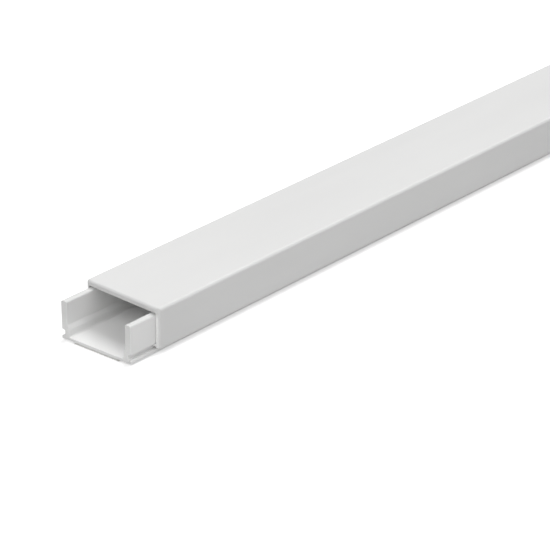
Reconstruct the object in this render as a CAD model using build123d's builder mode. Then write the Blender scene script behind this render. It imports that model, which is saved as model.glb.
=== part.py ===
from build123d import *
import os

# Adhesive cable trunking: one stock length of extrusion with a clip-on lid.
# X runs along the trunking, Y across it and Z up.
# The origin is the middle of the face that sticks to the wall.

# Nominal size of the trunking: width of the base, height over the lid
trunking_length = 1000.0
base_width = 20.0
trunking_height = 10.35

# Lid as displayed: pushed back to show the cable space
lid_slid_back = 8.5

# Base channel section
floor_thickness = 0.65
foot_height = 0.85
base_wall_thickness = 1.6
wall_top_radius = 0.4
groove_depth = 0.9
groove_outer_height = 2.2
shoulder_drop = 0.2
neck_thickness = 1.2
shelf_outer_height = 3.4
shelf_inner_height = 2.3
floor_corner_radius = 0.4

# Lid section: its skirts hang outside the base
lid_thickness = 1.2
skirt_thickness = 1.0
skirt_underside = 1.1
lid_edge_radius = 0.6
hook_reach = 0.7
hook_nose_height = 0.4
hook_lead_in_height = 0.2

# Running clearances between lid and base
wall_to_plate_clearance = 0.3
skirt_to_wall_clearance = 0.1
hook_to_shoulder_clearance = 0.15

# Adhesive strip under the floor, with its peel-off liner
tape_width = 12.0
tape_thickness = 0.25
liner_overhang = 0.5
liner_thickness = 0.1

# Heights of the layers above the wall face
tape_underside = liner_thickness
floor_underside = tape_underside + tape_thickness

plate_underside = trunking_height - lid_thickness
base_wall_height = plate_underside - wall_to_plate_clearance
wall_outer_face = base_width / 2
wall_inner_face = wall_outer_face - base_wall_thickness
neck_outer_face = wall_outer_face - groove_depth
neck_inner_face = neck_outer_face - neck_thickness
skirt_inner_face = wall_outer_face + skirt_to_wall_clearance
skirt_outer_face = skirt_inner_face + skirt_thickness
hook_nose_face = skirt_inner_face - hook_reach

base_start = -trunking_length / 2
lid_start = base_start + lid_slid_back


def section_plane(start, underside):
    """Plane across the trunking: its x is the width, its y the height."""
    return Plane(origin=(start, 0, underside), x_dir=(0, 1, 0), z_dir=(1, 0, 0))


def shoulder_underside(distance):
    """Height of the wall's shoulder above the floor's underside, by distance from the centre."""
    slope = shoulder_drop / groove_depth
    return groove_outer_height - slope * (wall_outer_face - distance)


# Base channel: flat floor with a foot along each side, and walls that jog out over a groove
with BuildPart() as base_channel:
    with BuildSketch(section_plane(base_start, floor_underside)) as base_section:
        with BuildLine():
            Polyline(
                (0, 0),
                (wall_outer_face, 0),
                (wall_outer_face, foot_height),
                (neck_outer_face, foot_height),
                (neck_outer_face, shoulder_underside(neck_outer_face)),
                (wall_outer_face, groove_outer_height),
                (wall_outer_face, base_wall_height),
                (wall_inner_face, base_wall_height),
                (wall_inner_face, shelf_outer_height),
                (neck_inner_face, shelf_inner_height),
                (neck_inner_face, floor_thickness),
                (0, floor_thickness),
                (0, 0),
            )
        make_face()
        mirror(about=Plane.YZ)
        wall_tops = base_section.vertices().group_by(Axis.Y)[-1]
        fillet(wall_tops, wall_top_radius)
        by_neck_face = base_section.vertices().sort_by(lambda corner: abs(abs(corner.X) - neck_inner_face))
        fillet(by_neck_face[:4].group_by(Axis.Y)[0], floor_corner_radius)
    extrude(amount=trunking_length)
base_channel.part.label = "base_channel"

# Lid: flat plate with rounded edges, and deep skirts that hook under the shoulders
with BuildPart() as lid:
    hook_top = shoulder_underside(skirt_inner_face) - hook_to_shoulder_clearance
    hook_nose_top = shoulder_underside(hook_nose_face) - hook_to_shoulder_clearance
    with BuildSketch(section_plane(lid_start, floor_underside)) as lid_section:
        with BuildLine():
            Polyline(
                (0, trunking_height),
                (skirt_outer_face, trunking_height),
                (skirt_outer_face, skirt_underside),
                (skirt_inner_face, skirt_underside),
                (skirt_inner_face, skirt_underside + hook_lead_in_height),
                (hook_nose_face, hook_nose_top - hook_nose_height),
                (hook_nose_face, hook_nose_top),
                (skirt_inner_face, hook_top),
                (skirt_inner_face, plate_underside),
                (0, plate_underside),
                (0, trunking_height),
            )
        make_face()
        mirror(about=Plane.YZ)
        outer_corners = lid_section.vertices().group_by(Axis.Y)[-1]
        fillet(outer_corners, lid_edge_radius)
    extrude(amount=trunking_length)
lid.part.label = "lid"

# Double-sided adhesive tape along the middle of the floor
with BuildPart() as adhesive_tape:
    with BuildSketch(section_plane(base_start, tape_underside)):
        Rectangle(tape_width, tape_thickness, align=(Align.CENTER, Align.MIN))
    extrude(amount=trunking_length)
adhesive_tape.part.label = "adhesive_tape"

# Release liner that is peeled off before the trunking is stuck to the wall
with BuildPart() as release_liner:
    with BuildSketch(section_plane(base_start, 0)):
        Rectangle(tape_width + 2 * liner_overhang, liner_thickness, align=(Align.CENTER, Align.MIN))
    extrude(amount=trunking_length)
release_liner.part.label = "release_liner"

os.makedirs("parts", exist_ok=True)
export_step(base_channel.part, "parts/base_channel.step")
export_step(lid.part, "parts/lid.step")
export_step(adhesive_tape.part, "parts/adhesive_tape.step")
export_step(release_liner.part, "parts/release_liner.step")
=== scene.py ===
# %% [markdown]
# Adhesive cable trunking: a white PVC channel that sticks to the wall, and a lid that clips over it.
# Both are extrusions, so everything that makes them look right is in one cross-section. This lesson
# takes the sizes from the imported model, draws the two sections finely, runs them out to full length
# and gives them the finish of extruded and saw-cut PVC. All lengths are in metres.

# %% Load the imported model
import bmesh
import bpy
import math
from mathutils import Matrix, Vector


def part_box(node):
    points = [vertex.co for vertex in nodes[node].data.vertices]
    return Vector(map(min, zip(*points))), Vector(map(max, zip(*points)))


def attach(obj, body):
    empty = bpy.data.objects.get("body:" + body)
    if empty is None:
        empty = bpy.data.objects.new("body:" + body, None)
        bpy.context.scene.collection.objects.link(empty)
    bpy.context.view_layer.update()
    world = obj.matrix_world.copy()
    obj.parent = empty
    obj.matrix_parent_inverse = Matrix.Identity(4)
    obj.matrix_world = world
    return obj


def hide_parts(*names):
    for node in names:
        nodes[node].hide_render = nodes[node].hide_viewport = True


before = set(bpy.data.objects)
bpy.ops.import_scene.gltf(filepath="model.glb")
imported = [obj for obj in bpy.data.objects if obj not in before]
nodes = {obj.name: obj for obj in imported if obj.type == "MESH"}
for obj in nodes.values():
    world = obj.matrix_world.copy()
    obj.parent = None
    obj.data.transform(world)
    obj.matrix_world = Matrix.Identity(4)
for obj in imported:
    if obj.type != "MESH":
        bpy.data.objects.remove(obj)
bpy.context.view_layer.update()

print("nodes:", sorted(nodes))

# %% [markdown]
# The loaded nodes say how long, wide and high each piece is. Reading those sizes, instead of typing
# them again, keeps the fine pieces exactly over the plain ones, which stay behind for collision.
# Only what a box can't say, such as how thick a wall is, gets a named value of its own.

# %% Sizes from the model
base_low, base_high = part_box("base_channel")
lid_low, lid_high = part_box("lid")
tape_low, tape_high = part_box("adhesive_tape")
liner_low, liner_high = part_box("release_liner")

MM = 0.001
near_end = base_low[0]
half_base = base_high[1]
half_lid = lid_high[1]
floor_underside = base_low[2]
base_height = base_high[2] - floor_underside
lid_top = lid_high[2] - floor_underside
skirt_underside = lid_low[2] - floor_underside
print("base, mm:", [round((high - low) / MM, 2) for low, high in zip(base_low, base_high)])
print("lid, mm:", [round((high - low) / MM, 2) for low, high in zip(lid_low, lid_high)])
print("tape, mm:", [round((high - low) / MM, 2) for low, high in zip(tape_low, tape_high)])
print("liner, mm:", [round((high - low) / MM, 2) for low, high in zip(liner_low, liner_high)])

# %% [markdown]
# The camera is settled before anything else is made. It looks along the trunking from the end where
# the channel shows, and down on it. The long lens keeps the edges almost parallel, as they are in a
# catalogue picture. The place is worked out backwards: the middle of the near end's lower edge has
# to fall on a known point of the picture, at a known distance.

# %% Camera
PHOTO_SIZE = 550
LENS_MM = 178.0
SENSOR_MM = 36.0
HEADING = math.radians(40.19)
LOOK_DOWN = math.radians(24.84)
NEAR_END_PIXEL = Vector((96.3, 351.2))
NEAR_END_DISTANCE = 572 * MM
VIEW_DEPTH = 20.0


def make_camera():
    """Camera whose picture shows the near end's lower edge at the named pixel."""
    forward = Vector((math.cos(LOOK_DOWN) * math.cos(HEADING), math.cos(LOOK_DOWN) * math.sin(HEADING),
                      -math.sin(LOOK_DOWN)))
    right = Vector((math.sin(HEADING), -math.cos(HEADING), 0))
    down = forward.cross(right)
    focal_pixels = LENS_MM / SENSOR_MM * PHOTO_SIZE
    offset = (NEAR_END_PIXEL - Vector((PHOTO_SIZE / 2, PHOTO_SIZE / 2))) / focal_pixels
    ray = forward + right * offset.x + down * offset.y
    data = bpy.data.cameras.new("camera")
    data.lens = LENS_MM
    data.sensor_width = SENSOR_MM
    data.clip_end = VIEW_DEPTH
    camera = bpy.data.objects.new("camera", data)
    camera.location = Vector((near_end, 0, floor_underside)) - ray * NEAR_END_DISTANCE
    camera.rotation_euler = forward.to_track_quat("-Z", "Y").to_euler()
    bpy.context.scene.collection.objects.link(camera)
    bpy.context.scene.camera = camera
    return camera


camera = make_camera()
print("camera stands at", [round(v, 3) for v in camera.location])

# %% [markdown]
# An extruded section has no truly sharp corner: the die leaves each one slightly round, and those
# small rounds catch the light as thin bright or dark lines. A Bevel modifier could round them, but
# each corner needs its own radius, so the outline itself is drawn with arcs. A corner is given as
# (distance from the centre, height, radius), and a section as the corners of its right half.

# %% Outline with rounded corners
ARC_STEPS = 8


def corner_arc(before, corner, after, radius):
    """Points of the arc that rounds one corner of an outline."""
    to_before = (before - corner).normalized()
    to_after = (after - corner).normalized()
    half_angle = to_before.angle(to_after) / 2
    centre = corner + (to_before + to_after).normalized() * (radius / math.sin(half_angle))
    reach = radius / math.tan(half_angle)
    first = corner + to_before * reach - centre
    last = corner + to_after * reach - centre
    sweep = first.angle(last)
    points = []
    for step in range(ARC_STEPS + 1):
        share = step / ARC_STEPS
        mix = first * math.sin((1 - share) * sweep) + last * math.sin(share * sweep)
        points.append(centre + mix / math.sin(sweep))
    return points


def symmetric_outline(right_half):
    """Closed outline from the corners of its right half and their mirror images."""
    left_half = [(-across, height, radius) for across, height, radius in reversed(right_half)]
    corners = right_half + left_half
    places = [Vector(corner[:2]) for corner in corners]
    outline = []
    for index, (across, height, radius) in enumerate(corners):
        after = places[(index + 1) % len(places)]
        outline += corner_arc(places[index - 1], places[index], after, radius)
    return outline


# %% [markdown]
# The base: a flat floor with a slightly thicker foot along each side, a groove above the foot
# outside, and walls that step out over the groove as far as the foot. Inside, the step shows as a
# sloping shelf along each side.

# %% Section of the base channel
FLOOR_THICKNESS = 0.65 * MM
WALL_THICKNESS = 1.6 * MM
WALL_TOP_RADIUS = 0.45 * MM
GROOVE_DEPTH = 0.9 * MM
GROOVE_OUTER_HEIGHT = 2.2 * MM
SHOULDER_DROP = 0.2 * MM
NECK_THICKNESS = 1.2 * MM
SHELF_OUTER_HEIGHT = 3.4 * MM
SHELF_INNER_HEIGHT = 2.3 * MM
DIE_RADIUS = 0.1 * MM
FOOT_HEIGHT = 0.85 * MM
FOOT_RADIUS = 0.5 * MM
GROOVE_RADIUS = 0.3 * MM
SHELF_RADIUS = 0.35 * MM
FLOOR_CORNER_RADIUS = 0.4 * MM

neck_outer = half_base - GROOVE_DEPTH
neck_inner = neck_outer - NECK_THICKNESS
wall_inner = half_base - WALL_THICKNESS
base_outline = symmetric_outline([
    (half_base, 0, DIE_RADIUS),
    (half_base, FOOT_HEIGHT, FOOT_RADIUS),
    (neck_outer, FOOT_HEIGHT, GROOVE_RADIUS),
    (neck_outer, GROOVE_OUTER_HEIGHT - SHOULDER_DROP, DIE_RADIUS),
    (half_base, GROOVE_OUTER_HEIGHT, DIE_RADIUS),
    (half_base, base_height, WALL_TOP_RADIUS),
    (wall_inner, base_height, WALL_TOP_RADIUS),
    (wall_inner, SHELF_OUTER_HEIGHT, SHELF_RADIUS),
    (neck_inner, SHELF_INNER_HEIGHT, SHELF_RADIUS),
    (neck_inner, FLOOR_THICKNESS, FLOOR_CORNER_RADIUS),
])
print("points in the base's section:", len(base_outline))

# %% [markdown]
# The lid: a flat plate with rounded long edges, and two deep skirts. A small hook inside each skirt's
# lower edge grips under the wall's step. Its nose is lower than the step by the clearance of the fit.

# %% Section of the lid
PLATE_THICKNESS = 1.2 * MM
SKIRT_THICKNESS = 1.0 * MM
LID_EDGE_RADIUS = 0.8 * MM
HOOK_REACH = 0.7 * MM
HOOK_NOSE_HEIGHT = 0.4 * MM
LEAD_IN_HEIGHT = 0.2 * MM
HOOK_CLEARANCE = 0.15 * MM
HOOK_RADIUS = 0.08 * MM

skirt_inner = half_lid - SKIRT_THICKNESS
hook_nose = skirt_inner - HOOK_REACH


def shoulder_height(across):
    """Height of the underside of the wall's step, or of its slope carried on outwards."""
    return GROOVE_OUTER_HEIGHT - SHOULDER_DROP / GROOVE_DEPTH * (half_base - across)


nose_top = shoulder_height(hook_nose) - HOOK_CLEARANCE
lid_outline = symmetric_outline([
    (skirt_inner, lid_top - PLATE_THICKNESS, DIE_RADIUS),
    (skirt_inner, shoulder_height(skirt_inner) - HOOK_CLEARANCE, HOOK_RADIUS),
    (hook_nose, nose_top, HOOK_RADIUS),
    (hook_nose, nose_top - HOOK_NOSE_HEIGHT, HOOK_RADIUS),
    (skirt_inner, skirt_underside + LEAD_IN_HEIGHT, HOOK_RADIUS),
    (skirt_inner, skirt_underside, HOOK_RADIUS),
    (half_lid, skirt_underside, DIE_RADIUS),
    (half_lid, lid_top, LID_EDGE_RADIUS),
])
print("points in the lid's section:", len(lid_outline))

# %% [markdown]
# A section becomes a length of trunking by repeating its outline at a few places along X and joining
# the rings with quads. The saw leaves no razor edge, so the outermost ring at each end is drawn a
# few hundredths of a millimetre smaller than the next. The lid's near end looks a little out of
# square, bowed outwards in the middle and soft along its outer edge, so there several rings shrink
# the outer face of the section along an arc, and each point is moved along X by its place across.

# %% Run a section out to a length
SAWN_EDGE = 0.06 * MM
RUBBED_RADIUS = 0.45 * MM
RUBBED_STEPS = 6
LID_END_SKEW = 0.052
LID_END_BOW = 1.9 * MM
SHARP_ANGLE = math.radians(35)


def shrunk(outline, inset):
    """The outline moved inwards by the inset, point by point."""
    area = sum(a.x * b.y - a.y * b.x for a, b in zip(outline, outline[1:] + outline[:1]))
    inwards = 1 if area > 0 else -1
    moved = []
    for index, point in enumerate(outline):
        along = outline[(index + 1) % len(outline)] - outline[index - 1]
        normal = Vector((-along.y, along.x)).normalized() * inwards
        moved.append(point + normal * inset)
    return moved


def rubbed(outline, inset):
    """The lid's outline with its outer face drawn in by the inset, and its inner face as it was."""
    moved = []
    for point in outline:
        outside = abs(point.x) > half_lid - SKIRT_THICKNESS / 2 or point.y > lid_top - PLATE_THICKNESS / 2
        across, upwards = (1 - inset / half_lid, 1 - inset / lid_top) if outside else (1, 1)
        moved.append(Vector((point.x * across, point.y * upwards)))
    return moved


def sawn_end(place, into, outline):
    """Rings of a plain sawn end, each as its place along X and its points."""
    return [(place, shrunk(outline, SAWN_EDGE)), (place + into * SAWN_EDGE, outline)]


def rubbed_end(place, outline):
    """Rings of the lid's near end, which shrink the outer face so that the edge is round."""
    rings = []
    for step in range(RUBBED_STEPS + 1):
        angle = math.pi / 2 * step / RUBBED_STEPS
        inset = RUBBED_RADIUS * (1 - math.sin(angle))
        rings.append((place + RUBBED_RADIUS * (1 - math.cos(angle)), rubbed(outline, inset)))
    return rings


def end_shift(across):
    """How far the lid's skewed and bowed near end is off a square cut, by distance from the centre."""
    return LID_END_SKEW * across - LID_END_BOW * (1 - (across / half_lid) ** 2)


def run_out(name, near_rings, far_rings, lift, shift=None):
    """Mesh object that joins the rings of its near end with those of its far end."""
    rings = near_rings + far_rings[::-1]
    mesh = bmesh.new()
    made = []
    for number, (along, points) in enumerate(rings):
        moved = shift and number < len(near_rings)
        made.append([
            mesh.verts.new((along + (shift(point.x) if moved else 0), point.x, point.y + lift))
            for point in points
        ])
    for ring, following in zip(made, made[1:]):
        for index in range(len(ring)):
            after = (index + 1) % len(ring)
            side = mesh.faces.new((ring[index], ring[after], following[after], following[index]))
            side.smooth = True
    for cap in (made[0], made[-1]):
        end_face = mesh.faces.new(cap)
        end_face.material_index = 1
    bmesh.ops.recalc_face_normals(mesh, faces=mesh.faces)
    bmesh.ops.triangulate(mesh, faces=[face for face in mesh.faces if len(face.verts) > 4])
    data = bpy.data.meshes.new(name)
    mesh.to_mesh(data)
    mesh.free()
    piece = bpy.data.objects.new(name, data)
    bpy.context.scene.collection.objects.link(piece)
    data.set_sharp_from_angle(angle=SHARP_ANGLE)
    weighted = piece.modifiers.new("flat faces stay flat", "WEIGHTED_NORMAL")
    weighted.keep_sharp = True
    return piece


base_piece = run_out("base_channel_extrusion", sawn_end(base_low[0], 1, base_outline),
                     sawn_end(base_high[0], -1, base_outline), floor_underside)
lid_piece = run_out("lid_extrusion", rubbed_end(lid_low[0], lid_outline),
                    sawn_end(lid_high[0], -1, lid_outline), floor_underside, end_shift)
print("faces:", len(base_piece.data.polygons), len(lid_piece.data.polygons))

# %% [markdown]
# Extruded PVC is an even, slightly warm white with a satin skin. Close up, the die has drawn very
# fine lines along it, and the tone wanders a little. One noise texture stretched along X gives the
# lines as bump and as a change in gloss, and a second, broad one gives the wandering tone. Both read
# object coordinates, which are the model's own metres, so nothing slides when the lid does.

# %% Helpers for node materials
RAMP_START = 0.3
RAMP_END = 0.7


def new_material(name):
    """Empty node material and its Principled shader."""
    material = bpy.data.materials.new(name)
    material.use_nodes = True
    return material, material.node_tree.nodes["Principled BSDF"]


def object_noise(material, stretch, scale, detail):
    """Noise over object coordinates, stretched by a factor along each axis."""
    tree = material.node_tree
    place = tree.nodes.new("ShaderNodeTexCoord")
    mapping = tree.nodes.new("ShaderNodeMapping")
    mapping.inputs["Scale"].default_value = stretch
    noise = tree.nodes.new("ShaderNodeTexNoise")
    noise.inputs["Scale"].default_value = scale
    noise.inputs["Detail"].default_value = detail
    tree.links.new(place.outputs["Object"], mapping.inputs["Vector"])
    tree.links.new(mapping.outputs["Vector"], noise.inputs["Vector"])
    return noise


def blended_colour(material, factor, dark, light):
    """Colour between dark and light, by the factor output, on the shader's base colour."""
    tree = material.node_tree
    ramp = tree.nodes.new("ShaderNodeValToRGB")
    ramp.color_ramp.elements[0].position = RAMP_START
    ramp.color_ramp.elements[1].position = RAMP_END
    ramp.color_ramp.elements[0].color = (*dark, 1)
    ramp.color_ramp.elements[1].color = (*light, 1)
    tree.links.new(factor, ramp.inputs["Fac"])
    tree.links.new(ramp.outputs["Color"], tree.nodes["Principled BSDF"].inputs["Base Color"])


def varied_roughness(material, factor, low, high):
    """Roughness between low and high, by the factor output."""
    tree = material.node_tree
    span = tree.nodes.new("ShaderNodeMapRange")
    span.inputs["To Min"].default_value = low
    span.inputs["To Max"].default_value = high
    tree.links.new(factor, span.inputs["Value"])
    tree.links.new(span.outputs["Result"], tree.nodes["Principled BSDF"].inputs["Roughness"])


def bumped(material, factor, depth):
    """Bump of the given depth in metres from the factor output."""
    tree = material.node_tree
    bump = tree.nodes.new("ShaderNodeBump")
    bump.inputs["Distance"].default_value = depth
    tree.links.new(factor, bump.inputs["Height"])
    tree.links.new(bump.outputs["Normal"], tree.nodes["Principled BSDF"].inputs["Normal"])


# %% [markdown]
# The lid looks a shade greyer than the base. The base's own rim, the rounded tops of its walls, has
# painted shade: there the colour is blended by height into a greyer white, so the lit tops render less
# bright.

# %% Extruded skin of the PVC
PVC_IOR = 1.53
SKIN_SPECULAR = 0.3
SKIN_BLUE = 0.994
GREY_BLUE = 0.99
BASE_WHITE = 0.88
# painted shade on the rounded wall tops: the greyer white they are blended into, and over what depth
RIM_PAINTED_SHADE_WHITE = 0.75
RIM_PAINTED_SHADE_DEPTH = 0.4 * MM
LID_WHITE = 0.738
TONE_WANDER = 0.015


def painted_shade_above(material, height, depth, white):
    """Painted shade: blend the material's colour into a greyer white, over the depth just below the
    height.
    """
    tree = material.node_tree
    shader = tree.nodes["Principled BSDF"]
    place = tree.nodes.new("ShaderNodeTexCoord")
    split = tree.nodes.new("ShaderNodeSeparateXYZ")
    span = tree.nodes.new("ShaderNodeMapRange")
    span.inputs["From Min"].default_value = height - depth
    span.inputs["From Max"].default_value = height
    blend = tree.nodes.new("ShaderNodeMix")
    blend.data_type = "RGBA"
    blend.inputs["B"].default_value = (white, white, white * GREY_BLUE, 1)
    tree.links.new(place.outputs["Object"], split.inputs["Vector"])
    tree.links.new(split.outputs["Z"], span.inputs["Value"])
    tree.links.new(span.outputs["Result"], blend.inputs["Factor"])
    tree.links.new(shader.inputs["Base Color"].links[0].from_socket, blend.inputs["A"])
    tree.links.new(blend.outputs["Result"], shader.inputs["Base Color"])


def extruded_pvc(name, white):
    """Satin PVC of the given whiteness, with fine die lines along X."""
    material, shader = new_material(name)
    shader.inputs["IOR"].default_value = PVC_IOR
    shader.inputs["Specular IOR Level"].default_value = SKIN_SPECULAR
    tone = object_noise(material, stretch=(0.25, 1, 1), scale=60, detail=3)
    dark, light = (
        (level, level, level * SKIN_BLUE) for level in (white - TONE_WANDER, white + TONE_WANDER))
    blended_colour(material, tone.outputs["Fac"], dark, light)
    lines = object_noise(material, stretch=(0.004, 1, 1), scale=2500, detail=2)
    varied_roughness(material, lines.outputs["Fac"], low=0.42, high=0.58)
    bumped(material, lines.outputs["Fac"], depth=0.004 * MM)
    return material


base_skin = extruded_pvc("extruded_pvc_of_base", BASE_WHITE)
# painted shade on the lit rounded tops of the walls
rim_painted_shade_full_height = base_high[2] - RIM_PAINTED_SHADE_DEPTH / 4
painted_shade_above(base_skin, rim_painted_shade_full_height, RIM_PAINTED_SHADE_DEPTH, RIM_PAINTED_SHADE_WHITE)
lid_skin = extruded_pvc("extruded_pvc_of_lid", LID_WHITE)
print("made", base_skin.name, "and", lid_skin.name)

# %% [markdown]
# The saw leaves the ends matt, with fine strokes where the teeth went through. The strokes run across
# the width, so this noise is stretched along Y. The base's ends are a shade greyer than its skin, and
# painted shade makes them greyer still towards the tops of the walls. The ends of the lid's skirts are
# a shade whiter than its skin, and the end of its plate, where the rubbed edge runs into it, has painted
# shade that makes it greyer.

# %% Sawn ends of the PVC
BASE_END_WHITE = 0.87
# painted shade: the base's ends go greyer towards the tops of the walls
BASE_END_TOP_PAINTED_SHADE_WHITE = 0.74
END_PAINTED_SHADE_HEIGHT = 6.0 * MM
END_PAINTED_SHADE_DEPTH = 4.0 * MM
LID_END_WHITE = 0.9
# painted shade on the end of the lid's plate
PLATE_END_PAINTED_SHADE_WHITE = 0.7
STROKE_CONTRAST = 0.03


def sawn_pvc(name, white):
    """Matt PVC of the given whiteness, with saw strokes across the width."""
    material, shader = new_material(name)
    shader.inputs["IOR"].default_value = PVC_IOR
    strokes = object_noise(material, stretch=(1, 0.12, 1), scale=3000, detail=4)
    dark, light = (
        (level, level, level * GREY_BLUE) for level in (white - STROKE_CONTRAST, white + STROKE_CONTRAST))
    blended_colour(material, strokes.outputs["Fac"], dark, light)
    varied_roughness(material, strokes.outputs["Fac"], low=0.6, high=0.8)
    bumped(material, strokes.outputs["Fac"], depth=0.03 * MM)
    return material


base_ends = sawn_pvc("sawn_pvc_of_base", BASE_END_WHITE)
# painted shade on the upper part of the base's ends
painted_shade_above(base_ends, floor_underside + END_PAINTED_SHADE_HEIGHT, END_PAINTED_SHADE_DEPTH, BASE_END_TOP_PAINTED_SHADE_WHITE)
lid_ends = sawn_pvc("sawn_pvc_of_lid", LID_END_WHITE)
# painted shade on the end of the lid's plate, over the plate's thickness
painted_shade_above(lid_ends, lid_high[2] - PLATE_THICKNESS, PLATE_THICKNESS, PLATE_END_PAINTED_SHADE_WHITE)
print("made", base_ends.name, "and", lid_ends.name)

# %% [markdown]
# Each fine piece gets its skin first and its end material second, which is the order that the faces
# were numbered in. It then takes the place of the plain node and moves with that node's body.

# %% Dress the base and the lid
for piece, node, skin, ends in ((base_piece, "base_channel", base_skin, base_ends),
                                (lid_piece, "lid", lid_skin, lid_ends)):
    piece.data.materials.append(skin)
    piece.data.materials.append(ends)
    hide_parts(node)
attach(base_piece, "base")
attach(lid_piece, "lid")

# %% [markdown]
# Under the floor runs a strip of closed-cell foam tape, and over its glue a paper liner. Both are
# plain strips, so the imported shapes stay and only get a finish: fine cells for the foam, and a
# smooth coated paper with faint fibres for the liner.

# %% Foam tape and liner
FOAM_ROUGHNESS = 0.85


def foam():
    """Closed-cell foam with fine cells."""
    material, shader = new_material("adhesive_foam")
    cells = object_noise(material, stretch=(1, 1, 1), scale=4000, detail=3)
    blended_colour(material, cells.outputs["Fac"], dark=(0.66, 0.66, 0.64), light=(0.8, 0.8, 0.78))
    shader.inputs["Roughness"].default_value = FOAM_ROUGHNESS
    bumped(material, cells.outputs["Fac"], depth=0.06 * MM)
    return material


def coated_paper():
    """Release paper: smooth and white, with fine fibres."""
    material = new_material("release_paper")[0]
    fibres = object_noise(material, stretch=(0.3, 1, 1), scale=1800, detail=5)
    blended_colour(material, fibres.outputs["Fac"], dark=(0.8, 0.79, 0.75), light=(0.87, 0.86, 0.82))
    varied_roughness(material, fibres.outputs["Fac"], low=0.3, high=0.45)
    bumped(material, fibres.outputs["Fac"], depth=0.008 * MM)
    return material


for node, material in (("adhesive_tape", foam()), ("release_liner", coated_paper())):
    nodes[node].data.materials.clear()
    nodes[node].data.materials.append(material)
    print(node, "gets", material.name)

# %% [markdown]
# The picture has a pure white ground. The floor is a pale matt surface that takes the object's soft
# shadow. It gets a little white of its own for the camera and in reflections, but not for diffuse
# rays, so it reaches white with no more diffuse light on the object. The world does the same beyond
# the floor's edge.

# %% Floor and white surroundings
FLOOR_HALF_SIZE = 6.0
FLOOR_ALBEDO = 0.75
FLOOR_OWN_WHITE = 0.5
SKY_LEVEL = 0.12


def white_for_camera(tree, level):
    """Output that is the level for camera, glossy and transmission rays, and nothing for others."""
    path = tree.nodes.new("ShaderNodeLightPath")
    total = path.outputs["Is Camera Ray"]
    for ray in ("Is Glossy Ray", "Is Transmission Ray"):
        add = tree.nodes.new("ShaderNodeMath")
        add.use_clamp = True
        tree.links.new(total, add.inputs[0])
        tree.links.new(path.outputs[ray], add.inputs[1])
        total = add.outputs[0]
    scale = tree.nodes.new("ShaderNodeMath")
    scale.operation = "MULTIPLY"
    scale.inputs[1].default_value = level
    tree.links.new(total, scale.inputs[0])
    return scale.outputs[0]


def pale_floor():
    """Square matt floor at the height that the object lies on."""
    size = FLOOR_HALF_SIZE
    corners = [(-size, -size, 0), (size, -size, 0), (size, size, 0), (-size, size, 0)]
    data = bpy.data.meshes.new("studio_floor")
    data.from_pydata(corners, [], [(0, 1, 2, 3)])
    floor = bpy.data.objects.new("studio_floor", data)
    bpy.context.scene.collection.objects.link(floor)
    material, shader = new_material("studio_floor")
    shader.inputs["Base Color"].default_value = (FLOOR_ALBEDO, FLOOR_ALBEDO, FLOOR_ALBEDO, 1)
    shader.inputs["Roughness"].default_value = 1
    shader.inputs["Specular IOR Level"].default_value = 0
    shader.inputs["Emission Color"].default_value = (1, 1, 1, 1)
    own_white = white_for_camera(material.node_tree, FLOOR_OWN_WHITE)
    material.node_tree.links.new(own_white, shader.inputs["Emission Strength"])
    data.materials.append(material)
    return floor


def white_world():
    """World that lights at the sky level and shows as white."""
    world = bpy.data.worlds.new("studio")
    world.use_nodes = True
    bpy.context.scene.world = world
    tree = world.node_tree
    extra = white_for_camera(tree, 1 - SKY_LEVEL)
    add = tree.nodes.new("ShaderNodeMath")
    add.inputs[1].default_value = SKY_LEVEL
    tree.links.new(extra, add.inputs[0])
    background = tree.nodes["Background"]
    background.inputs["Color"].default_value = (1, 1, 1, 1)
    tree.links.new(add.outputs[0], background.inputs["Strength"])


pale_floor()
white_world()
print("floor of", 2 * FLOOR_HALF_SIZE, "m, sky level", SKY_LEVEL)

# %% [markdown]
# Three soft lights do the rest. The key comes from above and behind, over the lid. As a sun with a
# wide angle it is equally strong along the whole metre of trunking, and it leaves the seen side a
# step darker than the top. A large soft box in front of the open end lights the sawn ends and
# reaches into the channel. A small one stands near the seen side and fills it, and as it is near,
# its light fades a little along the lid. All three are set for the trunking with its lid on. Where
# the lid has slid away, the key and the front box together are too strong for the lighter floor of
# the channel, which then renders as pure white.

# %% Soft lights
KEY_STRENGTH = 2.1
KEY_SPREAD = math.radians(40)
TOWARDS_KEY = Vector((0.5, 0, 0.87))
BOX_SPREAD = 0.625
FRONT_POWER = 15.3
FRONT_DISTANCE = 2.0
TOWARDS_FRONT = Vector((-0.7, -0.1, 0.7))
SIDE_POWER = 0.6
SIDE_DISTANCE = 0.6
TOWARDS_SIDE = Vector((-0.1, -0.7, 0.7))


def soft_key():
    """Wide soft sun from above and behind."""
    data = bpy.data.lights.new("soft_key", "SUN")
    data.energy = KEY_STRENGTH
    data.angle = KEY_SPREAD
    light = bpy.data.objects.new("soft_key", data)
    light.rotation_euler = TOWARDS_KEY.to_track_quat("Z", "Y").to_euler()
    bpy.context.scene.collection.objects.link(light)


def soft_box(name, power, distance, towards):
    """Square soft box that faces the near end from the given distance and direction."""
    data = bpy.data.lights.new(name, "AREA")
    data.energy = power
    data.size = distance * BOX_SPREAD
    light = bpy.data.objects.new(name, data)
    light.location = Vector((near_end, 0, 0)) + towards.normalized() * distance
    light.rotation_euler = towards.to_track_quat("Z", "Y").to_euler()
    light.visible_camera = False
    bpy.context.scene.collection.objects.link(light)


soft_key()
soft_box("front_box", FRONT_POWER, FRONT_DISTANCE, TOWARDS_FRONT)
soft_box("side_box", SIDE_POWER, SIDE_DISTANCE, TOWARDS_SIDE)
bpy.context.scene.view_settings.view_transform = "Standard"
